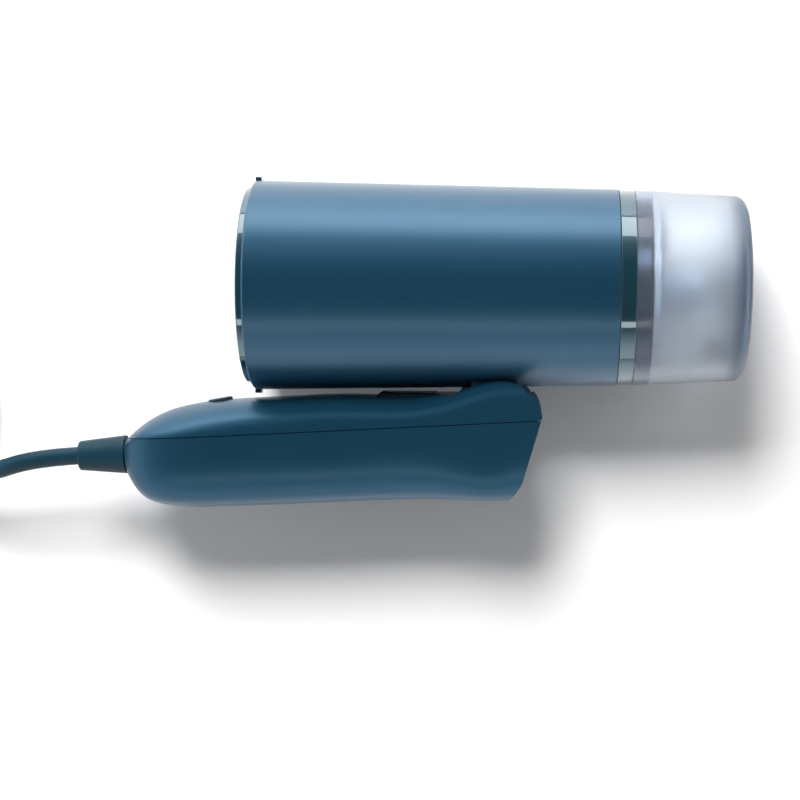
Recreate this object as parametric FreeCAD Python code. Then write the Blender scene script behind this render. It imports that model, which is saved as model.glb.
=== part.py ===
"""Folding handheld garment steamer, lying on its side on a table.

Millimetres. The table is z = 0 and the steamer's plane of symmetry is level.
+X runs along the head, from the steam plate to the water tank.
+Y runs from the folded handle to the head, and the folding hinge turns about Z.
"""
import FreeCAD, Part
import math
import os

V = FreeCAD.Vector
X = V(1, 0, 0)
Y = V(0, 1, 0)
Z = V(0, 0, 1)

# ---- driving dimensions -------------------------------------------------------------
AXIS_Y = 22.3            # the head's axis
MID_Z = 40.35            # the plane of symmetry, one head radius above the table
SHELL_FRONT = -58.6      # the head shell's front edge
SHELL_REAR = 80.1        # seam between the head shell and the collar
SHELL_FRONT_R = 40.35
SHELL_REAR_R = 37.35
SHELL_WALL = 2.2
BEZEL_FRONT = -61.1
PLATE_FRONT = -61.5
PLATE_R = 32.8
BEZEL_R = 37.9
SLEEVE_R = 37.1          # the bezel's sleeve inside the shell
COLLAR_REAR = 86.2       # the tank's rim meets the collar here
NECK_R = 34.0
NECK_REAR = 91.7
TANK_RIM_R = 37.1
TANK_SHOULDER = 123.1
TANK_SHOULDER_R = 35.2
TANK_END = 128.1
TANK_CORNER = 5.0

PIVOT_X = 34.0           # the folding hinge
PIVOT_Y = -28.6
FOLD_DEG = 106.0         # from folded flat to ready for use
KNUCKLE_R = 12.3
KNUCKLE_HALF = 14.3
SADDLE_HALF = 8.6        # half the saddle's length along the head
CHEEK_IN = 14.9          # the handle's cheeks, measured from the plane of symmetry
DRUM_R = 17.2
PIN_R = 4.0
RUN_GAP = 0.05           # radial clearance of a running fit
HEAD_GAP = 0.5           # the handle's clearance round the head

GRIP_HALF = 21.5         # half the handle's width
GRIP_WALL = 2.3
NOSE_X = -109.8
GRIP_END_X = 60.0
END_FACE_POINT = (46.8, -45.4)
END_FACE_DEG = -15.9     # the way the handle's end face looks
COVER_GAP = 0.3          # the joint's width
SPLIT_SLOPE = 0.06       # the joint between the two handle covers, through the pivot

TRIGGER_X = (-10.4, 12.4)
TRIGGER_HALF = 8.0
TRIGGER_TOP = -18.3
TRIGGER_PIVOT = (9.6, -23.6)
BUTTON_X = -72.5
BUTTON_Y = -22.6
BUTTON_TILT = 10.0
BUTTON_R = 4.8
BUTTON_PROUD = 1.1

PUMP_Y = 32.3            # the pump's axis, above the middle of the head
VALVE_LIFT = 2.0

CORD_D = 7.0
CORD_EXIT = V(-128.2, -44.9, 40.35)
COIL_X = -222.0
COIL_Y = -20.0
COIL_TURNS_R = (31.0, 38.0, 45.0)
PLUG_X = -250.0
PLUG_Y = 26.0            # where the cord enters the plug
PLUG_Z = 13.05
PIN_SPACING = 19.0

NODES = {}


# ---- helpers ------------------------------------------------------------------------
def rod(radius, start, along, length):
    return Part.makeCylinder(radius, length, start, along)


def tube(outer, inner, start, along, length):
    return rod(outer, start, along, length).cut(rod(inner, start, along, length))


def block(x0, x1, y0, y1, z0, z1):
    """A box; its z values are measured from the plane of symmetry."""
    return Part.makeBox(x1 - x0, y1 - y0, z1 - z0, V(x0, y0, MID_Z + z0))


def soften(shape, radius, choose=lambda edge: True):
    return shape.makeFillet(radius, [e for e in shape.Edges if choose(e)])


def turned(profile, centre_y=AXIS_Y):
    """A solid of revolution about the head's axis from (x, radius) corners."""
    corners = [V(x, centre_y + r, MID_Z) for x, r in profile]
    face = Part.Face(Part.makePolygon(corners + [corners[0]]))
    return face.revolve(V(0, centre_y, MID_Z), X, 360)


def ring_edges(shape, x, radius, tolerance=0.1):
    """The circular edges of a turned solid at x with the given radius."""
    found = []
    for edge in shape.Edges:
        centre = edge.BoundBox.Center
        if edge.BoundBox.XLength > tolerance or abs(centre.x - x) > tolerance:
            continue
        if abs(edge.BoundBox.YLength / 2 - radius) < tolerance:
            found.append(edge)
    return found


def head_radius(x):
    """The outside radius of the head shell at x."""
    slope = (SHELL_REAR_R - SHELL_FRONT_R) / (SHELL_REAR - SHELL_FRONT)
    return SHELL_FRONT_R + slope * (x - SHELL_FRONT)


def grown_head(gap):
    """The head's outline grown by a gap, for cutting room round it."""
    front, rear = SHELL_FRONT - 5, TANK_END + 5
    profile = [(front, 0), (front, head_radius(front) + gap), (rear, head_radius(rear) + gap), (rear, 0)]
    return turned(profile)


def spring(wire_d, coil_d, length, turns, start, along):
    """A compression coil spring that begins at start."""
    helix = Part.makeHelix((length - wire_d) / turns, length - wire_d, coil_d / 2)
    section = Part.Wire(Part.makeCircle(wire_d / 2, V(coil_d / 2, 0, 0), Y))
    wire = Part.Wire(helix.Edges).makePipeShell([section], True, True)
    wire.translate(V(0, 0, wire_d / 2))
    wire.Placement = FreeCAD.Placement(start, FreeCAD.Rotation(Z, along)).multiply(wire.Placement)
    return wire


def rounded_path(points):
    """Straight runs joined by tangent arcs as large as the runs allow, and the arcs' radii."""
    edges = []
    radii = []
    begin = points[0]
    for before, corner, after in zip(points, points[1:], points[2:]):
        arrive = (corner - before).normalize()
        leave = (after - corner).normalize()
        half_turn = arrive.getAngle(leave) / 2
        setback = 0.45 * min((corner - before).Length, (after - corner).Length)
        radii.append(setback / math.tan(half_turn))
        arc_in = corner - arrive * setback
        arc_out = corner + leave * setback
        bisector = (leave - arrive).normalize()
        middle = corner + bisector * (radii[-1] / math.cos(half_turn) - radii[-1])
        edges.append(Part.LineSegment(begin, arc_in).toShape())
        edges.append(Part.Arc(arc_in, middle, arc_out).toShape())
        begin = arc_out
    edges.append(Part.LineSegment(begin, points[-1]).toShape())
    return Part.Wire(edges), radii


def hose(points, outer_d, inner_d=0.0):
    """A round tube or wire swept along a rounded path."""
    path, radii = rounded_path(points)
    way = points[1] - points[0]
    section = Part.Wire(Part.makeCircle(outer_d / 2, points[0], way))
    solid = path.makePipeShell([section], True, False)
    if inner_d:
        bore = Part.Wire(Part.makeCircle(inner_d / 2, points[0], way))
        solid = solid.cut(path.makePipeShell([bore], True, False))
    return solid, path, radii


def screw(start, along, length, shank_r=1.3, head_r=2.6, head_h=1.8):
    """A pan-head screw with a cross recess; start is under its head."""
    body = rod(shank_r, start, along, length)
    top = rod(head_r, start - along * head_h, along, head_h)
    side = X if abs(along.x) < 0.9 else Y
    depth = head_h * 0.6
    slots = []
    for direction in (side, along.cross(side)):
        slot = Part.makeBox(head_r * 1.3, 0.7, depth, V(-head_r * 0.65, -0.35, 0))
        turn = FreeCAD.Rotation(direction, along.cross(direction), along, "ZXY")
        slot.Placement = FreeCAD.Placement(start - along * head_h, turn)
        slots.append(slot)
    return body.fuse(top).cut(slots[0]).cut(slots[1])


def group(solids):
    return Part.makeCompound(solids)


def keep(name, shape):
    NODES[name] = shape.removeSplitter() if shape.ShapeType == "Solid" else shape


# ---- head: shell, front and steam generator --------------------------------------------
NUB_HALF = 2.2
COLLAR_LENGTH = 1.7       # the plain band on the bezel that a brush slides over
FOOT_SLOT = (26.0, 42.0, 9.0)     # the hinge foot's neck through the shell: x from, x to, half width


def head_shell():
    front, rear = SHELL_FRONT, SHELL_REAR
    outer = [(front, head_radius(front)), (rear, head_radius(rear))]
    inner = [(rear, head_radius(rear) - SHELL_WALL), (front, head_radius(front) - SHELL_WALL)]
    shell = turned(outer + inner)
    shell = shell.makeFillet(1.2, ring_edges(shell, front, head_radius(front)))
    shell = shell.makeFillet(0.3, ring_edges(shell, rear, head_radius(rear)))
    for side in (-1, 1):
        y = AXIS_Y + side * 40
        shell = shell.cut(block(front - 1, front + 2.6, y - 4, y + 4, -NUB_HALF - 0.2, NUB_HALF + 0.2))
    x0, x1, half = FOOT_SLOT
    return shell.cut(block(x0, x1, AXIS_Y - 45, AXIS_Y - 25, -half, half))


def front_bezel():
    lip = 0.45
    collar_end = BEZEL_FRONT + 0.6 + COLLAR_LENGTH
    profile = [(BEZEL_FRONT, PLATE_R + lip), (BEZEL_FRONT, BEZEL_R), (collar_end, BEZEL_R), (collar_end, SLEEVE_R),
               (-50.4, SLEEVE_R), (-50.4, SLEEVE_R - 1.2), (-58.2, SLEEVE_R - 1.2), (-58.2, 35.4), (-59.3, 35.4),
               (-59.3, PLATE_R + lip)]
    bezel = turned(profile)
    bezel = bezel.makeFillet(0.6, ring_edges(bezel, BEZEL_FRONT, BEZEL_R))
    bezel = bezel.makeFillet(0.4, ring_edges(bezel, BEZEL_FRONT, PLATE_R + lip))
    for side in (-1, 1):
        near, far = sorted((AXIS_Y + side * 36.4, AXIS_Y + side * 41.6))
        nub = block(SHELL_FRONT, SHELL_FRONT + 2.3, near, far, -NUB_HALF, NUB_HALF)
        bezel = bezel.fuse(nub)
    return bezel


def steam_plate():
    """The coated aluminium front with its steam outlets, and its flange behind the bezel."""
    disc = turned([(PLATE_FRONT, 0), (PLATE_FRONT, PLATE_R), (-59.1, PLATE_R), (-59.1, 35.2), (-57.6, 35.2),
                   (-57.6, 0)])
    disc = disc.makeFillet(0.8, ring_edges(disc, PLATE_FRONT, PLATE_R))
    dish = turned([(PLATE_FRONT - 1, 0), (PLATE_FRONT - 1, 14.0), (PLATE_FRONT + 0.6, 12.4), (PLATE_FRONT + 0.6, 0)])
    disc = disc.cut(dish)
    for count, ring_r, hole_r in ((1, 0.0, 1.6), (6, 7.5, 1.6), (12, 21.5, 1.4)):
        for step in range(count):
            turn = 2 * math.pi * step / count
            centre = V(PLATE_FRONT - 1, AXIS_Y + ring_r * math.cos(turn), MID_Z + ring_r * math.sin(turn))
            disc = disc.cut(rod(hole_r, centre, X, 6))
    return disc


def plate_gasket():
    return turned([(-57.5, 31.2), (-57.5, 35.0), (-56.6, 35.0), (-56.6, 31.2)])


HEATER_R = 20.0
HEATER_TUBE_R = 3.2
HEATER_X = -28.6
STEAM_INLET = V(-28.0, PUMP_Y, MID_Z)


def steam_chamber():
    """The die-cast steam chamber, open to the plate, with a labyrinth and a steam inlet."""
    body = turned([(-56.5, 27.0), (-56.5, 31.0), (-28.0, 31.0), (-28.0, 0), (-33.5, 0), (-33.5, 27.0)])
    for radius, gap_side in ((20.5, 1), (12.5, -1)):
        wall = tube(radius + 1.2, radius, V(-54.5, AXIS_Y, MID_Z), X, 22)
        near, far = sorted((AXIS_Y, AXIS_Y + gap_side * 25))
        body = body.fuse(wall.cut(block(-56, -34, near, far, -5, 5)))
    body = body.fuse(rod(3.6, STEAM_INLET, X, 8)).cut(rod(1.8, STEAM_INLET - X * 6, X, 16))
    for x, y, z in boiler_screw_places():
        body = body.fuse(rod(3.4, V(-28.0, y, z), X, 9.9))
    groove = Part.makeTorus(HEATER_R, HEATER_TUBE_R + 0.05, V(HEATER_X, AXIS_Y, MID_Z), X)
    body = body.cut(groove)
    for x, y, z in boiler_screw_places():
        body = body.cut(rod(1.3, V(-30.0, y, z), X, 14))
    return body


def boiler_screw_places():
    places = []
    for degrees in (90, 210, 330):
        turn = math.radians(degrees)
        places.append((-16.4, AXIS_Y + 27.2 * math.sin(turn), MID_Z + 27.2 * math.cos(turn)))
    return places


def heating_element():
    """A tubular heater bent to most of a ring, with its two cold ends."""
    open_deg = 50.0
    start = (open_deg / 2 - 90) % 360
    ring = Part.makeTorus(HEATER_R, HEATER_TUBE_R, V(0, 0, 0), Z, 0, 360, 360 - open_deg)
    turn_up = FreeCAD.Rotation(X, start).multiply(FreeCAD.Rotation(Z, X))
    ring.Placement = FreeCAD.Placement(V(HEATER_X, AXIS_Y, MID_Z), turn_up)
    ends = []
    for face in ring.Faces:
        if face.Surface.TypeId == "Part::GeomPlane":
            ends.append(face.CenterOfMass)
    element = ring
    for end in ends:
        element = element.fuse(rod(HEATER_TUBE_R * 0.9, end, X, 9)).fuse(rod(1.1, end, X, 13))
    return element


def thermostat():
    seat = V(-28.0, AXIS_Y - 2, MID_Z)
    body = rod(8.0, seat, X, 4.0).fuse(rod(6.2, seat, X, 6.0))
    for side in (-1, 1):
        body = body.fuse(block(-22.5, -18.6, seat.y - 2, seat.y + 2, side * 4 - 0.4, side * 4 + 0.4))
    return body


def thermal_fuse():
    place = V(-26.4, AXIS_Y - 13.0, MID_Z)
    return rod(1.6, place - Z * 6, Z, 12).fuse(rod(0.5, place - Z * 11, Z, 22))


def heat_shield():
    """The heat-resistant cup that carries the steam chamber inside the shell."""
    cup = turned([(-49.8, 34.6), (-49.8, 36.0), (-16.4, 36.0), (-16.4, 0), (-18.0, 0), (-18.0, 34.6)])
    cup = cup.cut(rod(7.0, V(-20, AXIS_Y, MID_Z), X, 6))
    cup = cup.cut(rod(4.2, V(-20, PUMP_Y + 4, MID_Z), X, 6))
    cup = cup.cut(rod(4.4, V(-20, PUMP_Y, MID_Z), X, 6))
    cup = cup.cut(block(-20, -15, AXIS_Y - 26, AXIS_Y - 12, -13, 13))
    for x, y, z in boiler_screw_places() + chassis_screw_places():
        cup = cup.cut(rod(1.5, V(-20, y, z), X, 6))
    return cup


# ---- head: chassis, pump and electronics ------------------------------------------------
CHASSIS_TOP = 6.0
PUMP_BODY = (2.0, 46.0)


def chassis():
    """A tray across the head that holds the pump above it and the circuit board below it."""
    tray = block(-13.0, 73.0, CHASSIS_TOP - 2, CHASSIS_TOP, -28.5, 28.5)
    for end_x in (-16.3, 71.5):
        tray = tray.fuse(block(end_x, end_x + 3.3, CHASSIS_TOP - 2, CHASSIS_TOP + 14, -26, 26))
    tray = tray.cut(block(16, 52, CHASSIS_TOP - 3, CHASSIS_TOP + 1, -8, 8))
    tray = tray.cut(block(-17, -12, CHASSIS_TOP - 3, CHASSIS_TOP + 3, -11, 11))
    tray = tray.cut(rod(4.2, V(70, AXIS_Y, MID_Z), X, 6))
    for x, y, z in boiler_screw_places():
        tray = tray.cut(rod(3.2, V(x - 1, y, z), X, 5))
    for x in (5.0, 41.0):
        cradle = block(x - 2, x + 2, CHASSIS_TOP, PUMP_Y - 2, -11, 11)
        tray = tray.fuse(cradle.cut(rod(10.5, V(x - 3, PUMP_Y, MID_Z), X, 6)))
    for x, y, z in chassis_screw_places():
        tray = tray.cut(rod(1.4, V(x - 9, y, z), X, 18))
    return tray


def chassis_screw_places():
    places = []
    for x in (-18.0, 76.95):
        for side in (-1, 1):
            places.append((x, CHASSIS_TOP + 10, MID_Z + side * 17))
    return places


def chassis_screws():
    screws = []
    for x, y, z in chassis_screw_places():
        along = X if x < 0 else V(-1, 0, 0)
        screws.append(screw(V(x, y, z), along, 5.0))
    return group(screws)


def pump_body():
    start, end = PUMP_BODY
    body = rod(7.2, V(start, PUMP_Y, MID_Z), X, end - start)
    body = body.cut(rod(5.5, V(start + 3, PUMP_Y, MID_Z), X, end - start - 6))
    body = body.fuse(rod(2.2, V(start - 9, PUMP_Y, MID_Z), X, 10))
    body = body.fuse(rod(2.2, V(end - 1, PUMP_Y, MID_Z), X, 9))
    return body.cut(rod(1.0, V(start - 10, PUMP_Y, MID_Z), X, end - start + 20))


def pump_coil():
    """The winding on its bobbin, inside its iron frame."""
    winding = tube(11.5, 7.3, V(11.5, PUMP_Y, MID_Z), X, 23)
    frame = block(9.5, 36.5, PUMP_Y - 14, PUMP_Y + 14, -13, 13)
    frame = frame.cut(block(11.5, 34.5, PUMP_Y - 12, PUMP_Y + 12, -14, 14))
    frame = frame.cut(rod(7.3, V(9, PUMP_Y, MID_Z), X, 29))
    return group([winding, frame])


def pump_mounts():
    rings = []
    for x in (3.0, 39.0):
        rings.append(tube(10.4, 7.25, V(x, PUMP_Y, MID_Z), X, 4))
    return group(rings)


ARMATURE_X = (14.0, 34.0)


def pump_armature():
    start, end = ARMATURE_X
    return tube(5.5 - RUN_GAP, 2.0, V(start, PUMP_Y, MID_Z), X, end - start)


def pump_spring():
    return spring(0.7, 8.0, 8.0, 5, V(ARMATURE_X[1] + 0.1, PUMP_Y, MID_Z), X)


def outlet_hose():
    return tube(3.6, 2.25, V(-14.5, PUMP_Y, MID_Z), X, 15.5)


def inlet_hose():
    points = [V(48, PUMP_Y, MID_Z), V(58, PUMP_Y, MID_Z), V(65, AXIS_Y, MID_Z), V(74.6, AXIS_Y, MID_Z)]
    return hose(points, 7.2, 4.5)[0]


def circuit_board():
    board = block(-10, 20, -3.6, -2.0, -17, 17)
    parts = [(block(-8, 2, -8.6, -3.6, -12, -2)), (block(6, 16, -2.0, 3.6, 3, 12)), block(5, 9, -9.6, -3.6, 2, 9)]
    for part in parts:
        board = board.fuse(part)
    return board


def board_posts():
    posts = []
    for x in (-7.0, 17.0):
        for side in (-1, 1):
            posts.append(rod(2.0, V(x, -2.0, MID_Z + side * 14.5), Y, CHASSIS_TOP - 2 + 2.0))
    return group(posts)


def head_wires():
    """Leads from the hinge foot to the board and from the board to the heater."""
    wires = []
    for side in (-1, 1):
        z = MID_Z + side * 1.2
        up = [V(PIVOT_X, -12, z), V(PIVOT_X, -5.5, z), V(28, -3.4, z), V(21.3, -2.8, z)]
        wires.append(hose(up, 2.0)[0])
        z = MID_Z + side * 4.0
        back = [V(-11.4, -2.8, z), V(-15, -0.5, z), V(-18.4, 6.0, z)]
        wires.append(hose(back, 2.0)[0])
    return group(wires)


# ---- head: hinge foot and docking end -----------------------------------------------------
def pivot(z=0.0):
    return V(PIVOT_X, PIVOT_Y, MID_Z + z)


FOOT_TOP = -10.4


def hinge_foot():
    """The knuckle, its saddle against the shell and its neck through the shell's slot."""
    width = 2 * KNUCKLE_HALF
    knuckle = rod(KNUCKLE_R, pivot(-KNUCKLE_HALF), Z, width)
    saddle = block(PIVOT_X - SADDLE_HALF, PIVOT_X + SADDLE_HALF, PIVOT_Y + 8, AXIS_Y - 25, -KNUCKLE_HALF, KNUCKLE_HALF)
    saddle = saddle.cut(grown_head(0.0))
    x0, x1, half = FOOT_SLOT
    neck = block(x0 + 0.2, x1 - 0.2, PIVOT_Y + 4, FOOT_TOP, -half + 0.2, half - 0.2)
    foot = knuckle.fuse(saddle).fuse(neck)
    foot = foot.cut(rod(PIN_R + RUN_GAP, pivot(-KNUCKLE_HALF), Z, width))
    for side in (-1, 1):
        start = pivot(side * KNUCKLE_HALF)
        foot = foot.cut(rod(6.0, start, V(0, 0, -side), 6.0))
    foot = foot.cut(rod(2.4, V(PIVOT_X, PIVOT_Y, MID_Z), Y, 30))
    for x, z in foot_screw_places():
        foot = foot.cut(rod(1.3, V(x, FOOT_TOP - 9, z), Y, 12))
    return foot


def foot_screw_places():
    places = []
    for x in (PIVOT_X - 5.2, PIVOT_X + 5.2):
        for side in (-1, 1):
            places.append((x, MID_Z + side * 6.0))
    return places


def hinge_plate():
    """The clamp plate inside the shell that the foot is screwed to."""
    plate = block(PIVOT_X - 12, PIVOT_X + 12, FOOT_TOP, FOOT_TOP + 2, -11, 11)
    legs = block(PIVOT_X - 12, PIVOT_X + 12, AXIS_Y - 37, FOOT_TOP, -12.5, 12.5)
    legs = legs.common(grown_head(-SHELL_WALL - 0.1))
    legs = legs.cut(block(PIVOT_X - 9, PIVOT_X + 9, AXIS_Y - 40, FOOT_TOP, -9.2, 9.2))
    plate = plate.fuse(legs)
    plate = plate.cut(rod(2.6, V(PIVOT_X, FOOT_TOP - 1, MID_Z), Y, 5))
    for x, z in foot_screw_places():
        plate = plate.cut(rod(1.4, V(x, FOOT_TOP - 1, z), Y, 5))
    return plate


def head_screws():
    """The same screw holds the steam chamber to the front and the hinge foot to its clamp plate."""
    screws = [screw(V(x, y, z), V(-1, 0, 0), 9) for x, y, z in boiler_screw_places()]
    screws += [screw(V(x, FOOT_TOP + 2, z), V(0, -1, 0), 9) for x, z in foot_screw_places()]
    return group(screws)


def hinge_bushes():
    bushes = []
    for side in (-1, 1):
        bushes.append(tube(5.98, PIN_R + RUN_GAP, pivot(side * KNUCKLE_HALF), V(0, 0, -side), 5.9))
    return group(bushes)


SPIGOT_R = 4.0
SPIGOT_TIP = 96.0
BULKHEAD_REAR = 76.9


def docking_bulkhead():
    """The head's rear wall with the water spigot."""
    wall = turned([(74.9, 0), (74.9, 34.9), (BULKHEAD_REAR, 34.9), (BULKHEAD_REAR, 0)])
    wall = wall.fuse(rod(SPIGOT_R, V(76.5, AXIS_Y, MID_Z), X, SPIGOT_TIP - 76.5))
    wall = wall.fuse(rod(2.2, V(70.0, AXIS_Y, MID_Z), X, 6))
    wall = wall.cut(rod(1.0, V(69, AXIS_Y, MID_Z), X, 28))
    groove = tube(SPIGOT_R + 1, SPIGOT_R - 0.9, V(93.6, AXIS_Y, MID_Z), X, 1.8)
    wall = wall.cut(groove)
    for x, y, z in chassis_screw_places():
        wall = wall.cut(rod(1.5, V(70, y, z), X, 10))
    return wall


def docking_sleeve():
    """The neck that the tank slides over, welded round the bulkhead."""
    sleeve = turned([(BULKHEAD_REAR, 32.2), (BULKHEAD_REAR, 34.9), (80.0, 34.9), (80.0, NECK_R), (NECK_REAR, NECK_R),
                     (NECK_REAR, 32.2)])
    return sleeve.makeFillet(0.8, ring_edges(sleeve, NECK_REAR, NECK_R))


def docking_seal():
    ring = Part.makeTorus(SPIGOT_R + 0.05, 0.88, V(94.5, AXIS_Y, MID_Z), X)
    return ring


def collar_ring():
    rear_r = TANK_RIM_R + 0.05
    ring = turned([(SHELL_REAR + 0.1, NECK_R + 0.05), (SHELL_REAR + 0.1, SHELL_REAR_R), (COLLAR_REAR - 0.3, rear_r),
                   (COLLAR_REAR - 0.3, NECK_R + 0.05)])
    ring = ring.makeFillet(0.3, ring_edges(ring, SHELL_REAR + 0.1, SHELL_REAR_R))
    return ring.makeFillet(0.3, ring_edges(ring, COLLAR_REAR - 0.3, rear_r))


# ---- tank ----------------------------------------------------------------------------------
LID_X = (92.2, 94.6)
LID_R = 34.2
VALVE_R = 8.0
VALVE_END = 112.0
SEAT_X = (99.4, 101.0)
FILLER_Y = AXIS_Y + 19.0
FILLER_R = 8.0


def tank_shell():
    wall = 2.0
    corner_x = TANK_END - TANK_CORNER
    end_r = TANK_SHOULDER_R - TANK_CORNER
    outer = turned([(COLLAR_REAR, 0), (COLLAR_REAR, TANK_RIM_R), (corner_x, TANK_SHOULDER_R),
                    (TANK_END, TANK_SHOULDER_R - 0.26), (TANK_END, 0)])
    outer = outer.makeFillet(TANK_CORNER, ring_edges(outer, TANK_END, TANK_SHOULDER_R - 0.26))
    inner = turned([(LID_X[1] - 0.5, 0), (LID_X[1] - 0.5, 33.5), (corner_x, TANK_SHOULDER_R - wall),
                    (TANK_END - wall, TANK_SHOULDER_R - wall - 0.26), (TANK_END - wall, 0)])
    inner = inner.makeFillet(TANK_CORNER - wall, ring_edges(inner, TANK_END - wall, TANK_SHOULDER_R - wall - 0.26))
    mouth = rod(LID_R + 0.05, V(COLLAR_REAR - 1, AXIS_Y, MID_Z), X, LID_X[1] - COLLAR_REAR + 1)
    shell = outer.cut(inner).cut(mouth)
    skirt = rod(NECK_R + 0.35, V(COLLAR_REAR - 1, AXIS_Y, MID_Z), X, LID_X[0] - COLLAR_REAR + 0.8)
    return shell.cut(skirt)


def tank_lid():
    """The tank's inner wall with its valve housing and its filler hole."""
    lid = rod(LID_R, V(LID_X[0], AXIS_Y, MID_Z), X, LID_X[1] - LID_X[0])
    lid = lid.fuse(rod(VALVE_R, V(LID_X[0], AXIS_Y, MID_Z), X, VALVE_END - LID_X[0]))
    lid = lid.fuse(rod(FILLER_R + 2, V(LID_X[0], FILLER_Y, MID_Z), X, 6))
    lid = lid.cut(rod(SPIGOT_R + 1.0, V(LID_X[0] - 1, AXIS_Y, MID_Z), X, SEAT_X[0] - LID_X[0] + 1))
    lid = lid.cut(rod(2.6, V(SEAT_X[0] - 1, AXIS_Y, MID_Z), X, 4))
    lid = lid.cut(rod(6.0, V(SEAT_X[1], AXIS_Y, MID_Z), X, VALVE_END - SEAT_X[1] - 1.6))
    lid = lid.cut(block(104, 108, AXIS_Y - 9, AXIS_Y + 9, -2, 2))
    lid = lid.cut(rod(1.6, V(108, AXIS_Y, MID_Z), X, 6))
    lid = lid.cut(rod(FILLER_R, V(LID_X[0] - 1, FILLER_Y, MID_Z), X, 12))
    groove = tube(33.2, 31.6, V(LID_X[1] - 0.8, AXIS_Y, MID_Z), X, 1)
    return lid.cut(groove)


def tank_lid_seal():
    return tube(33.1, 31.7, V(LID_X[1] - 0.75, AXIS_Y, MID_Z), X, 0.7)


def filler_plug():
    start = V(LID_X[0] - 1.7, FILLER_Y, MID_Z)
    plug = rod(FILLER_R + 1.4, start, X, 1.6).fuse(rod(FILLER_R - RUN_GAP, start, X, 6.5))
    plug = plug.cut(rod(FILLER_R - 2, start + X * 2.2, X, 8))
    tab = block(LID_X[0] - 3.0, LID_X[0] - 1.6, FILLER_Y - 5, FILLER_Y + 5, -1.0, 1.0)
    return plug.fuse(tab)


POPPET_X = SEAT_X[1] + VALVE_LIFT + 0.1


def valve_poppet():
    """Held off its seat by the spigot while the tank is docked."""
    stem_start = SPIGOT_TIP + 0.05
    stem = rod(1.5, V(stem_start, AXIS_Y, MID_Z), X, POPPET_X - stem_start + 1)
    return stem.fuse(rod(4.2, V(POPPET_X, AXIS_Y, MID_Z), X, 1.8))


def valve_spring():
    start = POPPET_X + 1.85
    return spring(0.5, 6.0, VALVE_END - 1.65 - start, 4, V(start, AXIS_Y, MID_Z), X)


def pickup_tube():
    points = [V(VALVE_END - 1.5, AXIS_Y, MID_Z), V(115.0, AXIS_Y, MID_Z), V(118.5, 19.0, MID_Z),
              V(119.4, 12.5, MID_Z), V(118.7, 4.0, MID_Z)]
    return hose(points, 3.0, 1.6)[0]


def pickup_filter():
    """The weighted filter that finds the water at the bottom of the tank."""
    body = rod(5.0, V(118.7, 4.6, MID_Z), V(0, -1, 0), 11)
    body = soften(body, 1.2, lambda e: e.BoundBox.YLength < 0.1)
    return body.cut(rod(1.8, V(118.7, 6, MID_Z), V(0, -1, 0), 8))


# ---- handle ----------------------------------------------------------------------------------
# Cross-sections along the grip: x, back of the grip, front of the grip, half width.
GRIP_SECTIONS = [
    (NOSE_X, -48.5, -39.8, 6.0),
    (-108.6, -51.0, -37.6, 8.6),
    (-106.0, -55.6, -34.9, 11.8),
    (-101.5, -60.4, -31.3, 15.2),
    (-95.0, -62.9, -27.6, 18.0),
    (-86.0, -63.9, -24.6, 20.0),
    (-72.0, -63.6, -22.3, 21.2),
    (-50.0, -62.5, -20.8, GRIP_HALF),
    (-22.0, -60.9, -19.5, GRIP_HALF),
    (6.0, -59.6, -19.0, GRIP_HALF),
    (20.0, -59.4, -16.0, GRIP_HALF),
    (34.0, -59.4, -11.5, GRIP_HALF),
    (GRIP_END_X, -60.5, -11.5, GRIP_HALF),
]
GRIP_FRONT = -19.0       # the grip's front face next to the head; only the hinge drum rises past it
# Squareness of the outline: 2 is an ellipse, more is boxier.
BACK_SQUARENESS = 2.8
NOSE_SQUARENESS = 1.7    # the front cover at the nose, where it is creased along the covers' joint
HINGE_SQUARENESS = 4.0
ARC_POINTS = 15


def squareness(x, side):
    """How boxy the outline is at x, for the front (side 1) or the back (side -1) of the covers' joint."""
    start = BACK_SQUARENESS
    if side > 0 and x < -40:
        return start + (NOSE_SQUARENESS - start) * min(1.0, (-40 - x) / 50)
    return start + (HINGE_SQUARENESS - start) * min(1.0, max(0.0, (x - 6) / 28))


def arc_points(x, joint, reach, half_z, side, boxiness):
    """Points on one side of an outline, from the joint at the top of the grip to the joint underneath."""
    points = []
    for step in range(ARC_POINTS):
        turn = math.pi * (step / (ARC_POINTS - 1) - 0.5)
        up = math.copysign(abs(math.sin(turn)) ** (2 / boxiness), math.sin(turn))
        across = abs(round(math.cos(turn), 9)) ** (2 / boxiness)
        points.append(V(x, joint + side * reach * across, MID_Z - side * half_z * up))
    return points


def grip_arc(x, joint, reach, half_z, side):
    """One side of an outline; every arc has the same parameters, so that the loft stays smooth."""
    typical = arc_points(0, 0, 20, GRIP_HALF, 1, BACK_SQUARENESS)
    lengths = [0.0]
    for before, after in zip(typical, typical[1:]):
        lengths.append(lengths[-1] + (after - before).Length)
    arc = Part.BSplineCurve()
    arc.interpolate(Points=arc_points(x, joint, reach, half_z, side, squareness(x, side)), Parameters=lengths)
    return arc.toShape()


def grip_section(x, back, front, half, inset):
    """A closed outline across the grip, widest at the covers' joint."""
    joint = min(split_y(x), front - 0.18 * (front - back))
    half_z = half - inset
    arcs = [grip_arc(x, joint, front - joint - inset, half_z, 1), grip_arc(x, joint, joint - back - inset, half_z, -1)]
    return Part.Wire(arcs)


def grip_solid(inset=0.0):
    """The handle's body; inset draws it in for the cavity."""
    sections = []
    for x, back, front, half in GRIP_SECTIONS:
        towards_nose = max(0.0, (x - GRIP_SECTIONS[5][0]) / (NOSE_X - GRIP_SECTIONS[5][0]))
        sections.append(grip_section(x + inset * towards_nose, back, front, half, inset))
    return Part.makeLoft(sections, True, False)


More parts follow.
